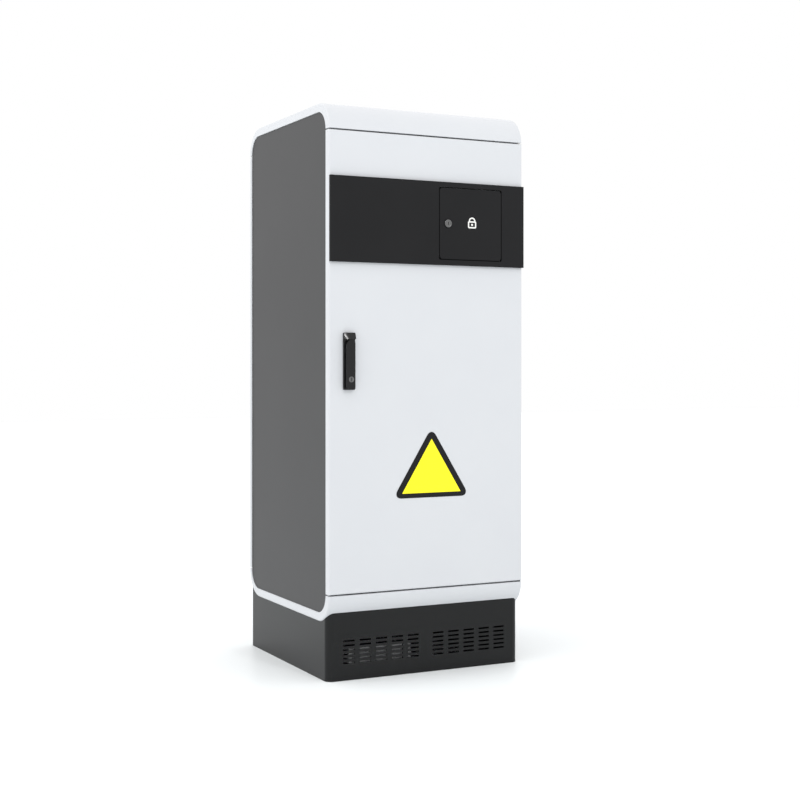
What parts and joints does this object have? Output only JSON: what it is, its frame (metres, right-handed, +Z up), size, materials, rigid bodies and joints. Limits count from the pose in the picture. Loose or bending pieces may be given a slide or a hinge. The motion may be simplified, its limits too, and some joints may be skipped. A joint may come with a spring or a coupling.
{
  "type": "traffic signal controller cabinet",
  "caption": "Floor-standing roadside signal controller cabinet with round-cornered shell, hinged door, fascia band with locked control flap, swing handle and vented plinth.",
  "frame": {"origin": "on the ground, at the middle of the four anchor holes in the plinth", "axes": "+Z up, -Y towards the front of the door, +X to the right seen from the front"},
  "size_m": [0.5, 0.5166, 1.3],
  "materials": {
    "white_paint": "smooth powder coat",
    "grey_paint": "fine powder coat",
    "black_paint": "fine powder coat",
    "band_black": "matte powder coat",
    "handle_black": "glass-filled polyamide",
    "zinc_plate": "zinc plated sheet",
    "steel": "nickel plated",
    "module_panel": "anodised",
    "ivory_plastic": "moulded",
    "red_plastic": "moulded",
    "green_plastic": "moulded",
    "amber_plastic": "moulded",
    "grey_plastic": "moulded",
    "black_plastic": "moulded",
    "white_plastic": "moulded",
    "gasket": "foamed seal",
    "brass": "plain",
    "filter_mat": "fleece in a card frame"
  },
  "bodies": {
    "cabinet": {"plinth": "black_paint", "plinth_bolts": "steel", "intake_filter": "filter_mat", "base_tray": "white_paint", "roof_cap": "white_paint", "left_side_panel": "grey_paint", "right_side_panel": "grey_paint", "rear_panel": "white_paint", "rear_screws": "steel", "front_frame": "white_paint", "rear_frame": "white_paint", "hinge_pins": "steel", "uprights": "zinc_plate", "chassis": "zinc_plate", "power_module": "module_panel", "processor_module": "module_panel", "io_modules": "module_panel", "lamp_modules": "module_panel", "mounting_plate": "zinc_plate", "din_rails": "zinc_plate", "main_breaker": "ivory_plastic", "branch_breakers": "ivory_plastic", "surge_arrester": "red_plastic", "service_socket": "ivory_plastic", "terminal_strips": "grey_plastic", "earth_bar": "brass", "wiring_ducts": "grey_plastic", "fan_plate": "zinc_plate", "fan_housings": "black_plastic", "fan_guards": "steel", "cabinet_lamp": "white_plastic", "door_switch": "black_plastic", "gland_plate": "zinc_plate", "cable_glands": "black_plastic"},
    "door": {"front_door": "white_paint", "door_gasket": "gasket", "hinge_bushes": "black_plastic", "band_cover": "band_black", "control_tray": "zinc_plate", "handle_base": "handle_black", "rod_guides": "zinc_plate", "document_pocket": "zinc_plate"},
    "flap": {"control_flap": "band_black", "lock_barrel": "steel"},
    "flap_lock": {"lock_plug": "steel"},
    "handle_hub": {"handle_hub": "steel"},
    "lever": {"handle_lever": "handle_black"},
    "key": {"key_plug": "steel"},
    "rod_top": {"upper_rod": "zinc_plate"},
    "rod_bottom": {"lower_rod": "zinc_plate"},
    "step": {"step_button": "green_plastic"},
    "hold": {"hold_button": "amber_plastic"},
    "clear": {"clear_button": "red_plastic"},
    "selector": {"mode_selector": "black_plastic"},
    "main_switch": {"main_toggle": "black_plastic"},
    "branch_switch_1": {"branch_toggle_1": "black_plastic"},
    "branch_switch_2": {"branch_toggle_2": "black_plastic"},
    "rotor_left": {"fan_rotor_left": "black_plastic"},
    "rotor_right": {"fan_rotor_right": "black_plastic"},
    "plunger": {"switch_plunger": "white_plastic"}
  },
  "joints": [
    {"name": "door_swing", "type": "hinge", "parent": "cabinet", "child": "door", "pos_m": [0.243, -0.243, 0.715], "axis": [0, 0, 1], "range_deg": [0, 115]},
    {"name": "flap_swing", "type": "hinge", "parent": "door", "child": "flap", "pos_m": [0.184, -0.2558, 1.035], "axis": [0, 0, 1], "range_deg": [0, 100]},
    {"name": "flap_lock_turn", "type": "hinge", "parent": "flap", "child": "flap_lock", "pos_m": [0.045, -0.255, 1.035], "axis": [0, 1, 0], "range_deg": [0, 90]},
    {"name": "handle_swing", "type": "hinge", "parent": "door", "child": "handle_hub", "pos_m": [-0.203, -0.25, 0.754], "axis": [0, -1, 0], "range_deg": [0, 90]},
    {"name": "handle_lift", "type": "hinge", "parent": "handle_hub", "child": "lever", "pos_m": [-0.203, -0.2605, 0.754], "axis": [-1, 0, 0], "range_deg": [0, 25]},
    {"name": "handle_key_turn", "type": "hinge", "parent": "lever", "child": "key", "pos_m": [-0.203, -0.26, 0.6765], "axis": [0, 1, 0], "range_deg": [0, 90]},
    {"name": "rod_top_slide", "type": "slide", "parent": "door", "child": "rod_top", "axis": [0, 0, -1], "range_m": [0, 0.0142]},
    {"name": "rod_bottom_slide", "type": "slide", "parent": "door", "child": "rod_bottom", "axis": [0, 0, 1], "range_m": [0, 0.0142]},
    {"name": "step_press", "type": "slide", "parent": "door", "child": "step", "axis": [0, 1, 0], "range_m": [0, 0.004], "stiffness_N_per_m": 250},
    {"name": "hold_press", "type": "slide", "parent": "door", "child": "hold", "axis": [0, 1, 0], "range_m": [0, 0.004], "stiffness_N_per_m": 250},
    {"name": "clear_press", "type": "slide", "parent": "door", "child": "clear", "axis": [0, 1, 0], "range_m": [0, 0.004], "stiffness_N_per_m": 250},
    {"name": "mode_turn", "type": "hinge", "parent": "door", "child": "selector", "pos_m": [0.1055, -0.214, 1.069], "axis": [0, 1, 0], "range_deg": [-45, 45]},
    {"name": "main_switch_flip", "type": "hinge", "parent": "cabinet", "child": "main_switch", "pos_m": [-0.1682, -0.1615, 0.715], "axis": [1, 0, 0], "range_deg": [0, 70]},
    {"name": "branch_switch_1_flip", "type": "hinge", "parent": "cabinet", "child": "branch_switch_1", "pos_m": [-0.1395, -0.1615, 0.715], "axis": [1, 0, 0], "range_deg": [0, 70]},
    {"name": "branch_switch_2_flip", "type": "hinge", "parent": "cabinet", "child": "branch_switch_2", "pos_m": [-0.1207, -0.1615, 0.715], "axis": [1, 0, 0], "range_deg": [0, 70]},
    {"name": "fan_left_spin", "type": "hinge", "parent": "cabinet", "child": "rotor_left", "pos_m": [-0.075, 0.21, 1.15], "axis": [0, 1, 0], "continuous": true},
    {"name": "fan_right_spin", "type": "hinge", "parent": "cabinet", "child": "rotor_right", "pos_m": [0.075, 0.21, 1.15], "axis": [0, 1, 0], "continuous": true},
    {"name": "door_switch_press", "type": "slide", "parent": "cabinet", "child": "plunger", "axis": [0, 1, 0], "range_m": [0, 0.005], "stiffness_N_per_m": 150}
  ],
  "couplings": [
    {"joint": "rod_top_slide", "follows": "handle_swing", "m_per_rad": 0.0089127},
    {"joint": "rod_bottom_slide", "follows": "handle_swing", "m_per_rad": 0.0089127}
  ]
}
